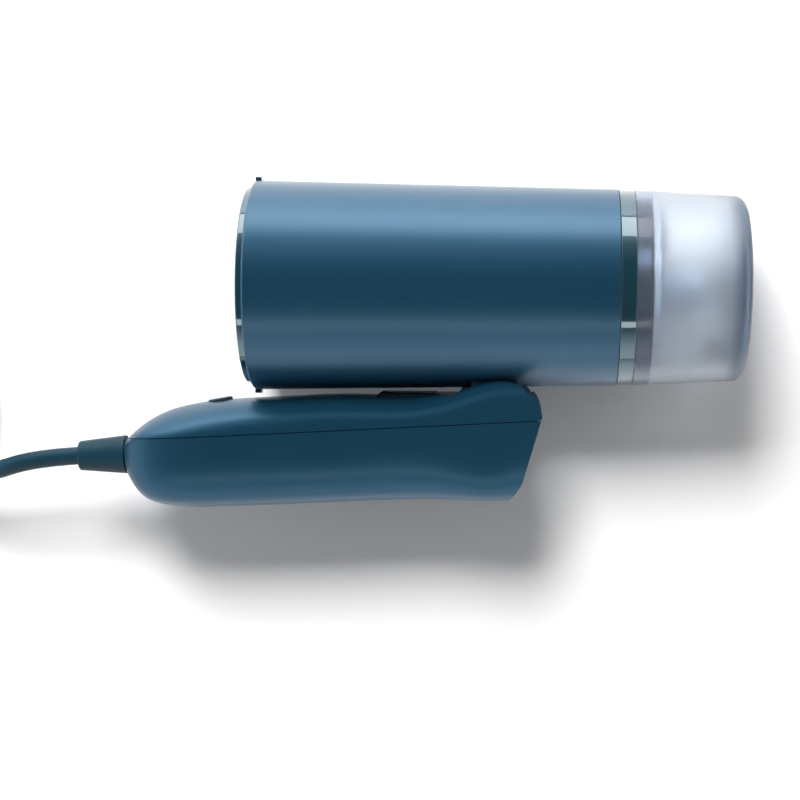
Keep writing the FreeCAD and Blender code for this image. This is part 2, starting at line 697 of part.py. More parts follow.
def end_face_cutter():
    """Everything past the handle's slanted end face."""
    turn = math.radians(END_FACE_DEG)
    slab = Part.makeBox(80, 160, 120, V(0, -80, -60))
    point = V(END_FACE_POINT[0], END_FACE_POINT[1], MID_Z)
    slab.Placement = FreeCAD.Placement(point, FreeCAD.Rotation(Z, math.degrees(turn)))
    return slab


def head_sweep():
    """The room that the head takes as it unfolds, in three pieces."""
    folded = grown_head(HEAD_GAP)
    unfolded = folded.copy()
    unfolded.rotate(pivot(), Z, -FOLD_DEG)
    section = Part.Face(Part.Wire(Part.makeCircle(head_radius(PIVOT_X) + HEAD_GAP, V(PIVOT_X, AXIS_Y, MID_Z), X)))
    between = section.revolve(pivot(), Z, -FOLD_DEG)
    return [folded, between, unfolded]


def knuckle_room():
    """The slot between the cheeks that the knuckle and its saddle turn in."""
    room = rod(KNUCKLE_R + 0.8, pivot(-CHEEK_IN), Z, 2 * CHEEK_IN)
    radius = 18.2
    first_deg, last_deg = 132.0, -59.0
    start = pivot(-CHEEK_IN)
    sector = Part.makeCylinder(radius, 2 * CHEEK_IN, start, Z, first_deg - last_deg)
    sector.rotate(start, Z, last_deg)
    return room.fuse(sector)


def handle_body(inset=0.0):
    """The grip with its hinge drum, before it is parted into its two covers; inset draws it in."""
    drum_half = GRIP_HALF - inset
    drum = rod(DRUM_R - inset, pivot(-drum_half), Z, 2 * drum_half)
    edge_round = 3.0 if not inset else 1.0
    drum = drum.makeFillet(edge_round, [e for e in drum.Edges if e.BoundBox.ZLength < 0.1])
    envelope = block(NOSE_X - 5, GRIP_END_X, -80, GRIP_FRONT - inset, -30, 30)
    past_end = end_face_cutter()
    past_end.translate(V(-inset, 0, 0))
    return grip_solid(inset).common(envelope.cut(past_end).fuse(drum))


def split_half(side):
    """A block on the +Y side (side 1) or the -Y side (side -1) of the covers' joint."""
    size = 300
    low = COVER_GAP / 2 if side > 0 else -size - COVER_GAP / 2
    half = Part.makeBox(2 * size, size, 200, V(-size, low, -100))
    half.Placement = FreeCAD.Placement(pivot(), FreeCAD.Rotation(Z, math.degrees(math.atan(SPLIT_SLOPE))))
    return half


def split_y(x):
    return PIVOT_Y + SPLIT_SLOPE * (x - PIVOT_X)


SCREW_X = (-84.0, -38.0, 2.0)
SCREW_Z = MID_Z - 11.5
BOSS_R = 4.4


def handle_screw_places():
    return [V(x, -56.0, SCREW_Z) for x in SCREW_X]


def screw_length(place):
    """Long enough to hold 6 mm of the front cover's boss."""
    return split_y(place.x) + 6.0 - place.y


def button_axis():
    turn = math.radians(BUTTON_TILT)
    return V(-math.sin(turn), math.cos(turn), 0)


def largest(shape):
    """The biggest solid of a shape, without the crumbs that a cut leaves at the nose."""
    return max(shape.Solids, key=lambda solid: solid.Volume)


def handle_covers():
    """The two hollow covers: front (towards the head) and rear (the back of the grip)."""
    outside = handle_body()
    for cutter in head_sweep() + [knuckle_room()]:
        outside = outside.cut(cutter)
    cavity = handle_body(GRIP_WALL)
    solid_end = block(PIVOT_X - DRUM_R - 1.5, GRIP_END_X, -75, 10, -30, 30)
    cavity = cavity.cut(solid_end)
    skin = outside.cut(cavity)
    for place in handle_screw_places():
        boss = rod(BOSS_R, V(place.x, -66, place.z), Y, 48).common(handle_body(GRIP_WALL - 0.2))
        skin = skin.fuse(boss)
    inside = handle_body(GRIP_WALL - 0.2)
    for z in clamp_screw_z():
        skin = skin.fuse(rod(2.8, V(CLAMP_X, -66, z), Y, 66 + CLAMP_LOW).common(inside))
    switch_rib = block(2.5, 4.5, -64, SWITCH_TOP - 9.0, -9, 9)
    skin = skin.fuse(switch_rib.common(inside))
    for side in (-1, 1):
        low, high = sorted((side * 6.3, side * 7.8))
        plate = block(BUTTON_X - 5, BUTTON_X + 5, split_y(BUTTON_X) + 0.2, BUTTON_Y, low, high)
        skin = skin.fuse(plate.common(inside))
    covers = {}
    for name, side in (("front", 1), ("rear", -1)):
        covers[name] = skin.common(split_half(side))
    pin_bore = rod(PIN_R, pivot(-GRIP_HALF + 1.9), Z, 2 * GRIP_HALF - 3.8)
    cuff_bore = rod(6.05, V(NOSE_X - 4, -44.0, MID_Z), X, 8)
    for name in covers:
        covers[name] = covers[name].cut(pin_bore).cut(cuff_bore)
        covers[name] = covers[name].cut(cord_cuff())
        for place in handle_screw_places():
            covers[name] = covers[name].cut(rod(1.35, place, Y, screw_length(place) + 1))
        for z in clamp_screw_z():
            covers[name] = covers[name].cut(rod(1.35, V(CLAMP_X, -50, z), Y, 12))
    for place in handle_screw_places():
        covers["rear"] = covers["rear"].cut(rod(3.0, V(place.x, -70, place.z), Y, 70 - 56))
    x0, x1 = TRIGGER_X
    slot = block(x0 - 1.0, x1 + 0.4, -26, -14, -TRIGGER_HALF - 0.4, TRIGGER_HALF + 0.4)
    covers["front"] = covers["front"].cut(slot)
    for side in (-1, 1):
        ear_low = TRIGGER_HALF + 0.5 if side > 0 else -TRIGGER_HALF - 3.5
        ear = block(TRIGGER_PIVOT[0] - 3, TRIGGER_PIVOT[0] + 3, TRIGGER_PIVOT[1] - 3, -20.5, ear_low, ear_low + 3)
        covers["front"] = covers["front"].fuse(ear)
    pin_hole = rod(1.5, V(TRIGGER_PIVOT[0], TRIGGER_PIVOT[1], MID_Z - 11.5), Z, 23)
    covers["front"] = covers["front"].cut(pin_hole)
    button_well = rod(BUTTON_R + 0.3, V(BUTTON_X, BUTTON_Y, MID_Z) - button_axis() * 8, button_axis(), 16)
    covers["front"] = covers["front"].cut(button_well)
    return {name: largest(cover) for name, cover in covers.items()}


def handle_screws():
    return group([screw(place, Y, screw_length(place), 1.3, 2.7) for place in handle_screw_places()])


def hinge_pin():
    half = GRIP_HALF - 2.0
    return tube(PIN_R - 0.01, 2.0, pivot(-half), Z, 2 * half)


def friction_washers():
    washers = []
    for side in (-1, 1):
        start = pivot(side * (KNUCKLE_HALF + 0.1))
        washers.append(tube(8.5, PIN_R + 0.2, start, V(0, 0, side), 0.4))
    return group(washers)


def trigger():
    """The steam trigger: a cap in the grip's front face that rocks about a pin."""
    x0, x1 = TRIGGER_X
    cap = block(x0, x1, TRIGGER_TOP - 2.6, TRIGGER_TOP, -TRIGGER_HALF, TRIGGER_HALF)
    cap = soften(cap, 1.2, lambda e: e.BoundBox.YLength < 0.1 and abs(e.BoundBox.Center.y - TRIGGER_TOP) < 0.1)
    hub = rod(2.6, V(TRIGGER_PIVOT[0], TRIGGER_PIVOT[1], MID_Z - 7.5), Z, 15)
    web = block(TRIGGER_PIVOT[0] - 2.0, TRIGGER_PIVOT[0] + 2.0, TRIGGER_PIVOT[1], TRIGGER_TOP - 2, -7.5, 7.5)
    foot = block(-4.0, 0.0, -26.0, TRIGGER_TOP - 2, -2.5, 2.5)
    body = cap.fuse(hub).fuse(web).fuse(foot)
    return body.cut(rod(1.5 + RUN_GAP, V(TRIGGER_PIVOT[0], TRIGGER_PIVOT[1], MID_Z - 9), Z, 18))


def trigger_pin():
    return rod(1.5 - 0.01, V(TRIGGER_PIVOT[0], TRIGGER_PIVOT[1], MID_Z - 11.4), Z, 22.8)


SWITCH_TOP = -28.6


def trigger_spring():
    return spring(0.6, 5.0, TRIGGER_TOP - 2.7 - (SWITCH_TOP + 0.1), 6, V(-7.0, SWITCH_TOP + 0.1, MID_Z), Y)


def microswitch():
    body = block(-10.5, 10.0, SWITCH_TOP - 9.0, SWITCH_TOP, -3.2, 3.2)
    body = body.cut(rod(1.3 + RUN_GAP, V(-2.0, SWITCH_TOP - 4, MID_Z), Y, 6))
    for x in (-7, 0, 7):
        body = body.fuse(block(x - 0.4, x + 0.4, SWITCH_TOP - 13.5, SWITCH_TOP - 9.0, -1.5, 1.5))
    return body


def microswitch_plunger():
    return rod(1.3, V(-2.0, SWITCH_TOP - 1.6, MID_Z), Y, -26.05 - (SWITCH_TOP - 1.6))


def on_button_axis(distance):
    """A point on the power button's axis; distance 0 is the grip's skin, below it is negative."""
    return V(BUTTON_X, BUTTON_Y, MID_Z) + button_axis() * distance


def power_button():
    cap = rod(BUTTON_R, on_button_axis(-3.0), button_axis(), 3.0 + BUTTON_PROUD)
    cap = cap.makeFillet(0.6, [e for e in cap.Edges if e.CenterOfMass.y > BUTTON_Y + 0.3 and len(e.Vertexes) == 1])
    cap = cap.fuse(rod(BUTTON_R + 1.0, on_button_axis(-3.9), button_axis(), 1.2))
    return cap.fuse(rod(1.5, on_button_axis(-10.5), button_axis(), 7.0))


def button_spring():
    return spring(0.4, 6.4, 5.9, 4, on_button_axis(-9.9), button_axis())


def power_switch():
    body = block(-6, 6, -8, 0, -6, 6)
    body.rotate(V(0, 0, MID_Z), Z, BUTTON_TILT)
    body.translate(on_button_axis(-10.0) - V(0, 0, MID_Z))
    pocket = rod(1.8, on_button_axis(-12.5), button_axis(), 6)
    return body.cut(pocket)


def terminal_block():
    body = block(-70, -50, -52, -42, -7, 7)
    for side in (-1, 1):
        body = body.cut(rod(2.2, V(-75, -47, MID_Z + side * 3.4), X, 30))
    return body


def handle_wires():
    """The two cores of the lead: cord to terminal block, and on to the switch and the hinge."""
    wires = []
    for side in (-1, 1):
        z = MID_Z + side * 3.4
        first = [V(-92.9, -43.9, MID_Z + side * 1.6), V(-87, -44.6, z), V(-79, -46.8, z), V(-66, -47, z)]
        wires.append(hose(first, 2.2)[0])
        second = [V(-54, -47, z), V(-38, -48.5, z), V(-14, -47.5, z), V(-7, -43.3, MID_Z + side * 1.3)]
        wires.append(hose(second, 2.2)[0])
    sheath_end = rod(CORD_D / 2, CUFF_ROOT + X * 0.4, X, 10.5)
    return group(wires + [sheath_end])


CLAMP_X = -97.0
CLAMP_LOW = -40.4        # the top of the lead's sheath, where the bar presses


def cord_clamp():
    bar = block(CLAMP_X - 3.5, CLAMP_X + 3.5, CLAMP_LOW + 0.15, CLAMP_LOW + 2.4, -9.6, 9.6)
    for z in clamp_screw_z():
        bar = bar.cut(rod(1.4, V(CLAMP_X, -45, z), Y, 10))
    return bar


def clamp_screw_z():
    return [MID_Z - 6.8, MID_Z + 6.8]


def clamp_screws():
    return group([screw(V(CLAMP_X, CLAMP_LOW + 2.4, z), V(0, -1, 0), 9) for z in clamp_screw_z()])


# ---- cord -------------------------------------------------------------------------------------
CUFF_ROOT = V(-104.0, -43.86, MID_Z)


def cord_cuff():
    """The tapered strain relief; its groove is held in the covers' nose."""
    tip = CORD_EXIT
    along = (tip - CUFF_ROOT).normalize()
    length = (tip - CUFF_ROOT).Length
    # distance from the root inside the nose, radius
    profile = [(0, 0), (0, 7.4), (3.0, 7.4), (3.0, 6.0), (5.6, 6.0), (5.6, 7.5), (length, 5.7), (length, 0)]
    corners = [V(0, r, d) for d, r in profile]
    face = Part.Face(Part.makePolygon(corners + [corners[0]]))
    cuff = face.revolve(V(0, 0, 0), Z, 360)
    tip_edges = [e for e in cuff.Edges if len(e.Vertexes) == 1 and abs(e.CenterOfMass.z - length) < 0.05]
    cuff = cuff.makeFillet(0.8, tip_edges)
    cuff.Placement = FreeCAD.Placement(CUFF_ROOT, FreeCAD.Rotation(Z, along))
    return cuff


FLOOR_Z = CORD_D / 2
COIL_OUT = COIL_TURNS_R[-1]
LEAD_ROUTE = [CORD_EXIT, V(-146.0, -46.2, 39.6), V(-166.0, -52.6, 34.0), V(-185.0, -59.2, 22.0),
              V(-201.0, -63.4, 9.5), V(-213.5, -64.6, 4.2)]
TAIL_ROUTE = [V(-260.0, -17.0, 17.5), V(-260.4, -6.0, 17.4), V(-258.6, 5.0, 16.2), V(-254.0, 15.5, 14.0),
              V(-250.0, 26.0, 13.05)]


def cord_tube(name, route):
    solid, path, radii = hose(route, CORD_D)
    expected = math.pi * CORD_D ** 2 / 4 * path.Length
    print(name, "length", round(path.Length, 1), "radii", [round(r, 1) for r in radii],
          "volume ratio", round(solid.Volume / expected, 4))
    return solid


def cord_coil():
    """The outer shape of the wound-up lead: two layers of three turns and a third of two."""
    half = CORD_D / 2
    centre = V(COIL_X, COIL_Y, 0)
    inner, middle, outer = COIL_TURNS_R
    lower = tube(outer + half, inner - half, centre, Z, 2 * CORD_D)
    upper = tube(outer + half, middle - half, centre + Z * 2 * CORD_D, Z, CORD_D)
    return lower.fuse(upper)


def plug_body():
    """A two-pin mains plug with its own tapered cord entry, lying on its side."""
    start = V(PLUG_X, PLUG_Y, PLUG_Z)
    entry = Part.makeCone(5.0, 6.6, 14.0, start, Y)
    face = block(-17.65, 17.65, 0, 28, -PLUG_Z, PLUG_Z)
    face.translate(V(PLUG_X, PLUG_Y + 14, PLUG_Z - MID_Z))
    face = soften(face, 11.0, lambda e: e.BoundBox.YLength > 20)
    face = soften(face, 1.5, lambda e: e.BoundBox.YLength < 0.1)
    return face.fuse(entry)


def plug_pins():
    pins = []
    for side in (-1, 1):
        start = V(PLUG_X + side * PIN_SPACING / 2, PLUG_Y + 42, PLUG_Z)
        pin = rod(2.4, start, Y, 19)
        tip = [e for e in pin.Edges if e.CenterOfMass.y > start.y + 18 and len(e.Vertexes) == 1]
        pins.append(pin.makeFillet(1.2, tip))
    return group(pins)


# ---- the whole steamer ----------------------------------------------------------------------------
def build():
    for make in (head_shell, front_bezel, steam_plate, plate_gasket, steam_chamber, heating_element, thermostat,
                 thermal_fuse, heat_shield, chassis, chassis_screws, pump_body, pump_coil, pump_mounts,
                 pump_armature, pump_spring, outlet_hose, inlet_hose, circuit_board, board_posts, head_wires,
                 hinge_foot, hinge_plate, head_screws, hinge_bushes, docking_bulkhead, docking_sleeve,
                 docking_seal, collar_ring, tank_shell, tank_lid, tank_lid_seal, filler_plug, valve_poppet, valve_spring,
                 pickup_tube, pickup_filter, handle_screws, hinge_pin, friction_washers, trigger, trigger_pin,
                 trigger_spring, microswitch, microswitch_plunger, power_button, button_spring, power_switch,
                 terminal_block, handle_wires, cord_clamp, clamp_screws, cord_cuff, cord_coil, plug_body,
                 plug_pins):
        keep(make.__name__, make())
    for name, cover in handle_covers().items():
        keep("handle_" + name + "_cover", cover)
    keep("cord_lead", cord_tube("cord_lead", LEAD_ROUTE))
    keep("cord_tail", cord_tube("cord_tail", TAIL_ROUTE))


def main():
    build()
    os.makedirs("parts", exist_ok=True)
    for name, shape in NODES.items():
        shape.exportStep(os.path.join("parts", name + ".step"))
    print(len(NODES), "nodes")


main()
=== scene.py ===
"""A folding handheld garment steamer on a pale table, seen almost straight from above.

Metres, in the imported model's frame: the steamer lies on its side with the table at z = 0.
+X runs along the head from the steam plate to the water tank, and +Y from the folded handle to the head.
"""
import math

import bmesh
import bpy
from mathutils import Matrix, Vector


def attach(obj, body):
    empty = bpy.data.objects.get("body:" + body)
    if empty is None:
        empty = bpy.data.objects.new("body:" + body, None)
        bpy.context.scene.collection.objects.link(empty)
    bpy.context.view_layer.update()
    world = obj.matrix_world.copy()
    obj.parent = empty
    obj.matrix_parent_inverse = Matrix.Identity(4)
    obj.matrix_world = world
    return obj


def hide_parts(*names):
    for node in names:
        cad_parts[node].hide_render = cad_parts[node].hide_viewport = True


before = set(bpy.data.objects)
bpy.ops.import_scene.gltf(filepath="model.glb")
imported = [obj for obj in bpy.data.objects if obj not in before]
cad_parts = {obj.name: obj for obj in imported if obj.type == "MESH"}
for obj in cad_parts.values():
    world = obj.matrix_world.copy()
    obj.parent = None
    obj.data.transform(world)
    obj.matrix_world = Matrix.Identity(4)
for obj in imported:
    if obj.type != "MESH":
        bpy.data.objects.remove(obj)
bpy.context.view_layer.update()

scene = bpy.context.scene

# The head's axis, the middle of the handle and the start of the lead are all at this height.
MIDDLE_HEIGHT = 0.04035

# ---- camera -------------------------------------------------------------------------------
CAMERA_PLACE = Vector((0.04624, 0.02173, 0.7340))
CAMERA_AIM = Vector((-0.0025, -0.0216, MIDDLE_HEIGHT))
CAMERA_ROLL = math.radians(0.4)
CAMERA_LENS = 81.04

# ---- the mains lead -----------------------------------------------------------------------
CORD_DIAMETER = 0.007
LEAD_POINTS = [
    (-0.1282, -0.0449, MIDDLE_HEIGHT),
    (-0.1460, -0.0462, 0.0396),
    (-0.1660, -0.0526, 0.0340),
    (-0.1850, -0.0592, 0.0220),
    (-0.2010, -0.0634, 0.0095),
    (-0.2135, -0.0646, 0.0042),
]
TAIL_POINTS = [
    (-0.2600, -0.0170, 0.0175),
    (-0.2604, -0.0060, 0.0174),
    (-0.2586, 0.0050, 0.0162),
    (-0.2540, 0.0155, 0.0140),
    (-0.2500, 0.0260, 0.01305),
]
COIL_CENTRE = (-0.222, -0.020)
COIL_TURNS = 7.25
POINTS_PER_TURN = 16
# Each step: the turns where it starts and ends, then the radius or height before and after it.
COIL_RADIUS_STEPS = [
    (0.75, 1.0, 0.045, 0.038),
    (1.75, 2.0, 0.038, 0.031),
    (3.5, 3.8, 0.031, 0.038),
    (4.5, 4.8, 0.038, 0.045),
    (6.26, 6.46, 0.045, 0.038),
]
COIL_HEIGHT_STEPS = [
    (2.55, 2.8, 0.0035, 0.0105),
    (5.3, 5.55, 0.0105, 0.0175),
]

# ---- the tank's frost and painted shade -----------------------------------------------------
# Where along the head the smooth rim ends (painted shade darkens the tank up to there), and where the
# painted shade on the thick round corner starts and ends.
TANK_RIM = (0.0912, 0.0924)
TANK_CORNER = (0.1200, 0.1272)

# ---- light --------------------------------------------------------------------------------
KEY_PLACE = (-0.24, 0.95, 1.22)
KEY_SIZE = 0.56
KEY_POWER = 37
FILL_POWER = 2
FILL_SIZE = 1.6
FAR_POWER = 12
STRIP_POWER = 1.8
WARM = (1.0, 0.88, 0.80)
# Height above the horizon (0 to 1) and the room's colour there.
ROOM_COLOURS = [
    (0.0, (1.25, 1.25, 1.25, 1)),
    (0.30, (1.05, 1.05, 1.05, 1)),
    (0.62, (0.24, 0.24, 0.25, 1)),
    (0.85, (0.05, 0.05, 0.05, 1)),
    (1.0, (0.03, 0.03, 0.03, 1)),
]

# ---- colours (linear) ---------------------------------------------------------------------
SHELL_BLUE = (0.012, 0.083, 0.160, 1)
SHELL_BLUE_LIGHT = (0.020, 0.106, 0.192, 1)
HANDLE_BLUE = (0.011, 0.078, 0.146, 1)
HANDLE_BLUE_LIGHT = (0.018, 0.100, 0.176, 1)
TRIM_TEAL = (0.014, 0.080, 0.120, 1)
TRIM_TEAL_LIGHT = (0.020, 0.105, 0.155, 1)
CORD_BLUE = (0.003, 0.025, 0.042, 1)
CORD_BLUE_LIGHT = (0.005, 0.036, 0.058, 1)
WHITE = (1, 1, 1, 1)


# ---- material helpers ---------------------------------------------------------------------
def start_material(name):
    """A new node material, with its tree and its Principled shader."""
    material = bpy.data.materials.new(name)
    material.use_nodes = True
    tree = material.node_tree
    return material, tree, tree.nodes["Principled BSDF"]


def set_shader(shader, **values):
    """Sets sockets of the shader by name, with _ for a space."""
    for name, value in values.items():
        shader.inputs[name.replace("_", " ")].default_value = value


def place_on_object(tree, stretch=(1, 1, 1)):
    """Coordinates on the object, in metres, stretched along each axis."""
    coordinates = tree.nodes.new("ShaderNodeTexCoord")
    mapping = tree.nodes.new("ShaderNodeMapping")
    mapping.inputs["Scale"].default_value = stretch
    tree.links.new(coordinates.outputs["Object"], mapping.inputs["Vector"])
    return mapping.outputs["Vector"]


def along(tree, axis):
    """How far a point is along one axis of the object, in metres."""
    parts = tree.nodes.new("ShaderNodeSeparateXYZ")
    tree.links.new(place_on_object(tree), parts.inputs["Vector"])
    return parts.outputs[axis]


def noise(tree, scale, detail=2.0, stretch=(1, 1, 1)):
    """Soft random mottling, mostly between 0.3 and 0.7."""
    node = tree.nodes.new("ShaderNodeTexNoise")
    node.inputs["Scale"].default_value = scale
    node.inputs["Detail"].default_value = detail
    tree.links.new(place_on_object(tree, stretch), node.inputs["Vector"])
    return node.outputs["Fac"]


def cells(tree, scale):
    """Round speckles: the distance to the nearest random point."""
    node = tree.nodes.new("ShaderNodeTexVoronoi")
    node.inputs["Scale"].default_value = scale
    tree.links.new(place_on_object(tree), node.inputs["Vector"])
    return node.outputs["Distance"]


def stripes(tree, scale, axis, distortion=0.0):
    """Even bands across one axis, scale bands to about 6 metres."""
    node = tree.nodes.new("ShaderNodeTexWave")
    node.bands_direction = axis
    node.inputs["Scale"].default_value = scale
    node.inputs["Distortion"].default_value = distortion
    tree.links.new(place_on_object(tree), node.inputs["Vector"])
    return node.outputs["Fac"]


def ramp(tree, factor, stops):
    """A colour for each position of the factor."""
    node = tree.nodes.new("ShaderNodeValToRGB")
    for element, (position, colour) in zip(node.color_ramp.elements, (stops[0], stops[-1])):
        element.position = position
        element.color = colour
    for position, colour in stops[1:-1]:
        node.color_ramp.elements.new(position).color = colour
    tree.links.new(factor, node.inputs["Fac"])
    return node.outputs["Color"]


def two_tone(tree, factor, colour, light):
    """One colour shading into a lighter one over the middle range of a noise."""
    return ramp(tree, factor, [(0.3, colour), (0.7, light)])


def remap(tree, value, source, target):
    """The value's range from source, spread evenly over target and held at its ends."""
    node = tree.nodes.new("ShaderNodeMapRange")
    node.inputs["From Min"].default_value = source[0]
    node.inputs["From Max"].default_value = source[1]
    node.inputs["To Min"].default_value = target[0]
    node.inputs["To Max"].default_value = target[1]
    tree.links.new(value, node.inputs["Value"])
    return node.outputs["Result"]


def spread(tree, factor, low, high):
    """The middle range of a noise, spread between two values."""
    return remap(tree, factor, (0.3, 0.7), (low, high))


def arithmetic(tree, operation, *values):
    """One Math node; each value is a number or another node's output."""
    node = tree.nodes.new("ShaderNodeMath")
    node.operation = operation
    for socket, value in zip(node.inputs, values):
        if isinstance(value, float):
            socket.default_value = value
        else:
            tree.links.new(value, socket)
    return node.outputs["Value"]


def product(tree, first, second):
    """Two colours multiplied. A Mix node names all its pairs A and B, so its colour pair goes by number."""
    node = tree.nodes.new("ShaderNodeMix")
    node.data_type = "RGBA"
    node.blend_type = "MULTIPLY"
    node.inputs["Factor"].default_value = 1.0
    colour_a, colour_b, colour_result = node.inputs[6], node.inputs[7], node.outputs[2]
    tree.links.new(first, colour_a)
    tree.links.new(second, colour_b)
    return colour_result


def raise_surface(tree, shader, height, depth, strength=1.0):
    """Bumps the shader's surface by the height, depth metres deep."""
    node = tree.nodes.new("ShaderNodeBump")
    node.inputs["Strength"].default_value = strength
    node.inputs["Distance"].default_value = depth
    tree.links.new(height, node.inputs["Height"])
    tree.links.new(node.outputs["Normal"], shader.inputs["Normal"])


def moulding(name, colour, light, roughness, grain=2600, depth=0.00002):
    """Moulded plastic: a fine eroded grain, slight flow marks and uneven gloss."""
    material, tree, shader = start_material(name)
    flow = noise(tree, 28, 3, (1, 2.5, 1))
    tree.links.new(two_tone(tree, flow, colour, light), shader.inputs["Base Color"])
    skin = noise(tree, grain, 2)
    tree.links.new(spread(tree, skin, roughness - 0.06, roughness + 0.06), shader.inputs["Roughness"])
    raise_surface(tree, shader, skin, depth)
    return material


def metal(name, colour, light, roughness, stretch, depth=0.000006):
    """Bare metal with marks drawn out along one direction."""
    material, tree, shader = start_material(name)
    set_shader(shader, Metallic=1.0)
    marks = noise(tree, 420, 4, stretch)
    stain = noise(tree, 45, 3)
    tree.links.new(two_tone(tree, stain, colour, light), shader.inputs["Base Color"])
    tree.links.new(spread(tree, marks, roughness - 0.08, roughness + 0.1), shader.inputs["Roughness"])
    raise_surface(tree, shader, marks, depth)
    return material


# ---- outside materials --------------------------------------------------------------------
def pearl_lacquer(name, colour, light, roughness, coat):
    """Satin lacquer with fine metal flake under a soft clear coat, over a faint orange peel."""
    material, tree, shader = start_material(name)
    set_shader(shader, Metallic=0.75, Coat_Weight=coat, Coat_Roughness=0.3)
    flake = noise(tree, 5200, 1)
    drift = noise(tree, 9, 2)
    mixed = arithmetic(tree, "MULTIPLY_ADD", flake, 0.55, arithmetic(tree, "MULTIPLY", drift, 0.45))
    colours = ramp(tree, mixed, [(0.36, colour), (0.64, light)])
    tree.links.new(colours, shader.inputs["Base Color"])
    tree.links.new(spread(tree, flake, roughness - 0.04, roughness + 0.04), shader.inputs["Roughness"])
    raise_surface(tree, shader, noise(tree, 900, 2), 0.000004)
    return material


def shell_lacquer():
    return pearl_lacquer("shell_lacquer", SHELL_BLUE, SHELL_BLUE_LIGHT, 0.40, 0.8)


def handle_lacquer():
    return pearl_lacquer("handle_lacquer", HANDLE_BLUE, HANDLE_BLUE_LIGHT, 0.42, 0.4)


def gloss_trim():
    """High-gloss dark teal with a few hairline scuffs in its coat."""
    material, tree, shader = start_material("gloss_trim")
    set_shader(shader, Metallic=0.7, Coat_Weight=1.0, Coat_IOR=2.0, Coat_Roughness=0.04)
    drift = noise(tree, 16, 2)
    tree.links.new(two_tone(tree, drift, TRIM_TEAL, TRIM_TEAL_LIGHT), shader.inputs["Base Color"])
    scuffs = noise(tree, 700, 3, (1, 1, 0.12))
    tree.links.new(spread(tree, scuffs, 0.06, 0.12), shader.inputs["Roughness"])
    raise_surface(tree, shader, noise(tree, 260, 1), 0.000003)
    return material


def frosted_tank():
    """Frosted polycarbonate: an etched grain, cloudy patches, a smoother rim, and painted shade up to the
    rim's end and on the thick round corner.
    """
    material, tree, shader = start_material("frosted_tank")
    set_shader(shader, Transmission_Weight=0.95, IOR=1.45)
    from_plate = along(tree, "X")
    cloud = noise(tree, 30, 3)
    tint = two_tone(tree, cloud, (0.85, 0.915, 0.985, 1), (0.89, 0.945, 1.0, 1))
    # Painted shade: the colour darkens across the thick round corner at the tank's end.
    into_corner = remap(tree, from_plate, TANK_CORNER, (0.0, 1.0))
    painted_corner_shade = ramp(tree, into_corner, [(0.0, WHITE), (1.0, (0.15, 0.22, 0.32, 1))])
    # Painted shade: the colour is darker up to where the smooth rim ends.
    past_rim = remap(tree, from_plate, TANK_RIM, (0.0, 1.0))
    painted_rim_shade = ramp(tree, past_rim, [(0.0, (0.66, 0.71, 0.80, 1)), (1.0, WHITE)])
    tree.links.new(product(tree, product(tree, tint, painted_corner_shade), painted_rim_shade), shader.inputs["Base Color"])
    etched = noise(tree, 3200, 2)
    rim_frost = remap(tree, from_plate, TANK_RIM, (0.45, 1.0))
    frost = arithmetic(tree, "MULTIPLY", spread(tree, etched, 0.28, 0.38), rim_frost)
    tree.links.new(frost, shader.inputs["Roughness"])
    raise_surface(tree, shader, etched, 0.000004)
    return material


def cord_skin():
    """Soft matt vinyl of the lead and its strain reliefs."""
    material, tree, shader = start_material("cord_skin")
    set_shader(shader, Sheen_Weight=0.02, Sheen_Roughness=0.4, Specular_IOR_Level=0.3)
    bloom = noise(tree, 60, 3)
    tree.links.new(two_tone(tree, bloom, CORD_BLUE, CORD_BLUE_LIGHT), shader.inputs["Base Color"])
    grain = noise(tree, 2400, 3)
    tree.links.new(spread(tree, grain, 0.42, 0.56), shader.inputs["Roughness"])
    raise_surface(tree, shader, grain, 0.00002)
    return material


def button_gloss():
    return moulding("button_gloss", (0.008, 0.020, 0.030, 1), (0.012, 0.030, 0.044, 1), 0.28)


def trigger_plastic():
    return moulding("trigger_plastic", (0.006, 0.010, 0.014, 1), (0.010, 0.016, 0.022, 1), 0.38)


def dock_plastic():
    return pearl_lacquer("dock_plastic", (0.020, 0.036, 0.056, 1), (0.030, 0.050, 0.074, 1), 0.24, 0.5)


def saddle_plastic():
    return moulding("saddle_plastic", (0.008, 0.030, 0.046, 1), (0.012, 0.042, 0.062, 1), 0.42)


def plate_coating():
    """Hard ceramic coat on the steam plate: speckled, satin, with faint slide marks."""
    material, tree, shader = start_material("plate_coating")
    set_shader(shader, Metallic=0.6, Coat_Weight=0.4, Coat_Roughness=0.18)
    speckle = cells(tree, 900)
    colours = [(0.10, (0.28, 0.30, 0.33, 1)), (0.45, (0.13, 0.15, 0.18, 1))]
    tree.links.new(ramp(tree, speckle, colours), shader.inputs["Base Color"])
    slides = noise(tree, 240, 4, (1, 0.1, 1))
    tree.links.new(spread(tree, slides, 0.22, 0.34), shader.inputs["Roughness"])
    raise_surface(tree, shader, speckle, 0.000008)
    return material


# ---- inside materials ---------------------------------------------------------------------
def cast_aluminium():
    """Die-cast metal: orange-peel skin with dull, slightly oxidised patches."""
    material, tree, shader = start_material("cast_aluminium")
    set_shader(shader, Metallic=0.95)
    patches = noise(tree, 70, 4)
    colours = two_tone(tree, patches, (0.42, 0.43, 0.45, 1), (0.60, 0.61, 0.62, 1))
    tree.links.new(colours, shader.inputs["Base Color"])
    skin = noise(tree, 950, 4)
    tree.links.new(spread(tree, skin, 0.40, 0.58), shader.inputs["Roughness"])
    raise_surface(tree, shader, skin, 0.00006)
    return material


def drawn_steel():
    return metal("drawn_steel", (0.46, 0.46, 0.48, 1), (0.60, 0.60, 0.62, 1), 0.28, (0.1, 1, 1))


def turned_steel():
    return metal("turned_steel", (0.50, 0.50, 0.52, 1), (0.64, 0.64, 0.66, 1), 0.22, (1, 1, 6))


